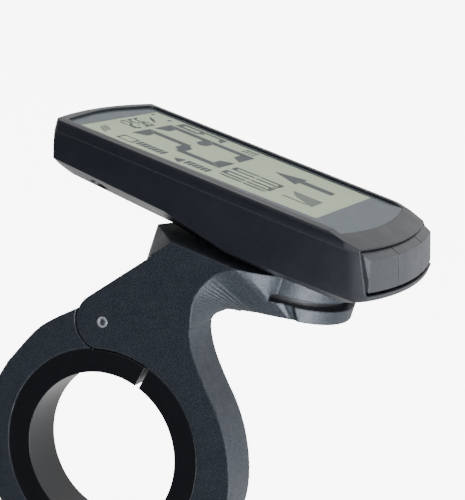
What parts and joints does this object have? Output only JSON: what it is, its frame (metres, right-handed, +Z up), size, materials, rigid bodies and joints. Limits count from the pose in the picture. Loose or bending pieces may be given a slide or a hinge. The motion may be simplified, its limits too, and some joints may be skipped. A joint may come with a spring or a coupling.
{
  "type": "bicycle computer with handlebar bracket",
  "caption": "Slim rectangular cycling computer with a segment display and a row of end keys, twist-locked onto a side arm with a hinged handlebar clamp.",
  "frame": {"origin": "centre of the handlebar bore, on its axis and midway across the clamp", "axes": "+X along the handlebar towards the rider's right, +Y forward, +Z up, square to the display"},
  "size_m": [0.0471, 0.0808, 0.101],
  "materials": {
    "body_plastic": "satin, fine",
    "key_plastic": "satin",
    "glass": "clear, glossy",
    "lcd": "reflective",
    "light_guide": "milky",
    "carrier": "matte",
    "gold": "plated",
    "board": "solder mask",
    "tin": "tinned",
    "buzzer_plastic": "matte",
    "foil": "foil pouch",
    "foam": "open cell",
    "black_rubber": "matte",
    "steel": "plain",
    "black_plastic": "moulded",
    "anodised": "blasted and anodised black",
    "shim_plastic": "satin"
  },
  "bodies": {
    "bracket": {"bracket_arm": "anodised", "socket_insert": "black_plastic", "insert_screws": "steel", "rear_shim": "shim_plastic", "hinge_pin": "steel", "clamp_bolt": "steel", "bolt_washer": "steel"},
    "jaw": {"clamp_jaw": "anodised", "front_shim": "shim_plastic", "barrel_nut": "steel"},
    "computer": {"top_housing": "body_plastic", "front_glass": "glass", "lcd_panel": "lcd", "backlight_guide": "light_guide", "inner_carrier": "carrier", "contact_strip": "gold", "main_board": "board", "shield_can": "tin", "buzzer": "buzzer_plastic", "usb_socket": "tin", "tact_switches": "tin", "battery_cell": "foil", "foam_pad": "foam", "housing_seal": "black_rubber", "bottom_housing": "body_plastic", "housing_screws": "steel", "bayonet_foot": "black_plastic", "cover_pin": "steel"},
    "key_left": {"left_key": "key_plastic"},
    "key_centre": {"centre_key": "key_plastic"},
    "key_right": {"right_key": "key_plastic"},
    "cover": {"port_cover": "black_rubber"}
  },
  "joints": [
    {"name": "computer_twist", "type": "hinge", "parent": "bracket", "child": "computer", "pos_m": [0.0185, -0.0184, 0.0475], "axis": [0, 0, 1], "range_deg": [0, 90]},
    {"name": "left_key_press", "type": "slide", "parent": "computer", "child": "key_left", "axis": [0, 1, 0], "range_m": [0, 0.0005], "stiffness_N_per_m": 1500, "springref_m": -0.0004},
    {"name": "centre_key_press", "type": "slide", "parent": "computer", "child": "key_centre", "axis": [0, 1, 0], "range_m": [0, 0.0005], "stiffness_N_per_m": 1500, "springref_m": -0.0004},
    {"name": "right_key_press", "type": "slide", "parent": "computer", "child": "key_right", "axis": [0, 1, 0], "range_m": [0, 0.0005], "stiffness_N_per_m": 1500, "springref_m": -0.0004},
    {"name": "port_cover_swing", "type": "hinge", "parent": "computer", "child": "cover", "pos_m": [0.0185, 0.0304, 0.0543], "axis": [-1, 0, 0], "range_deg": [0, 95]},
    {"name": "jaw_open", "type": "hinge", "parent": "bracket", "child": "jaw", "pos_m": [0, 0.0081, 0.0273], "axis": [1, 0, 0], "range_deg": [0, 3]}
  ]
}
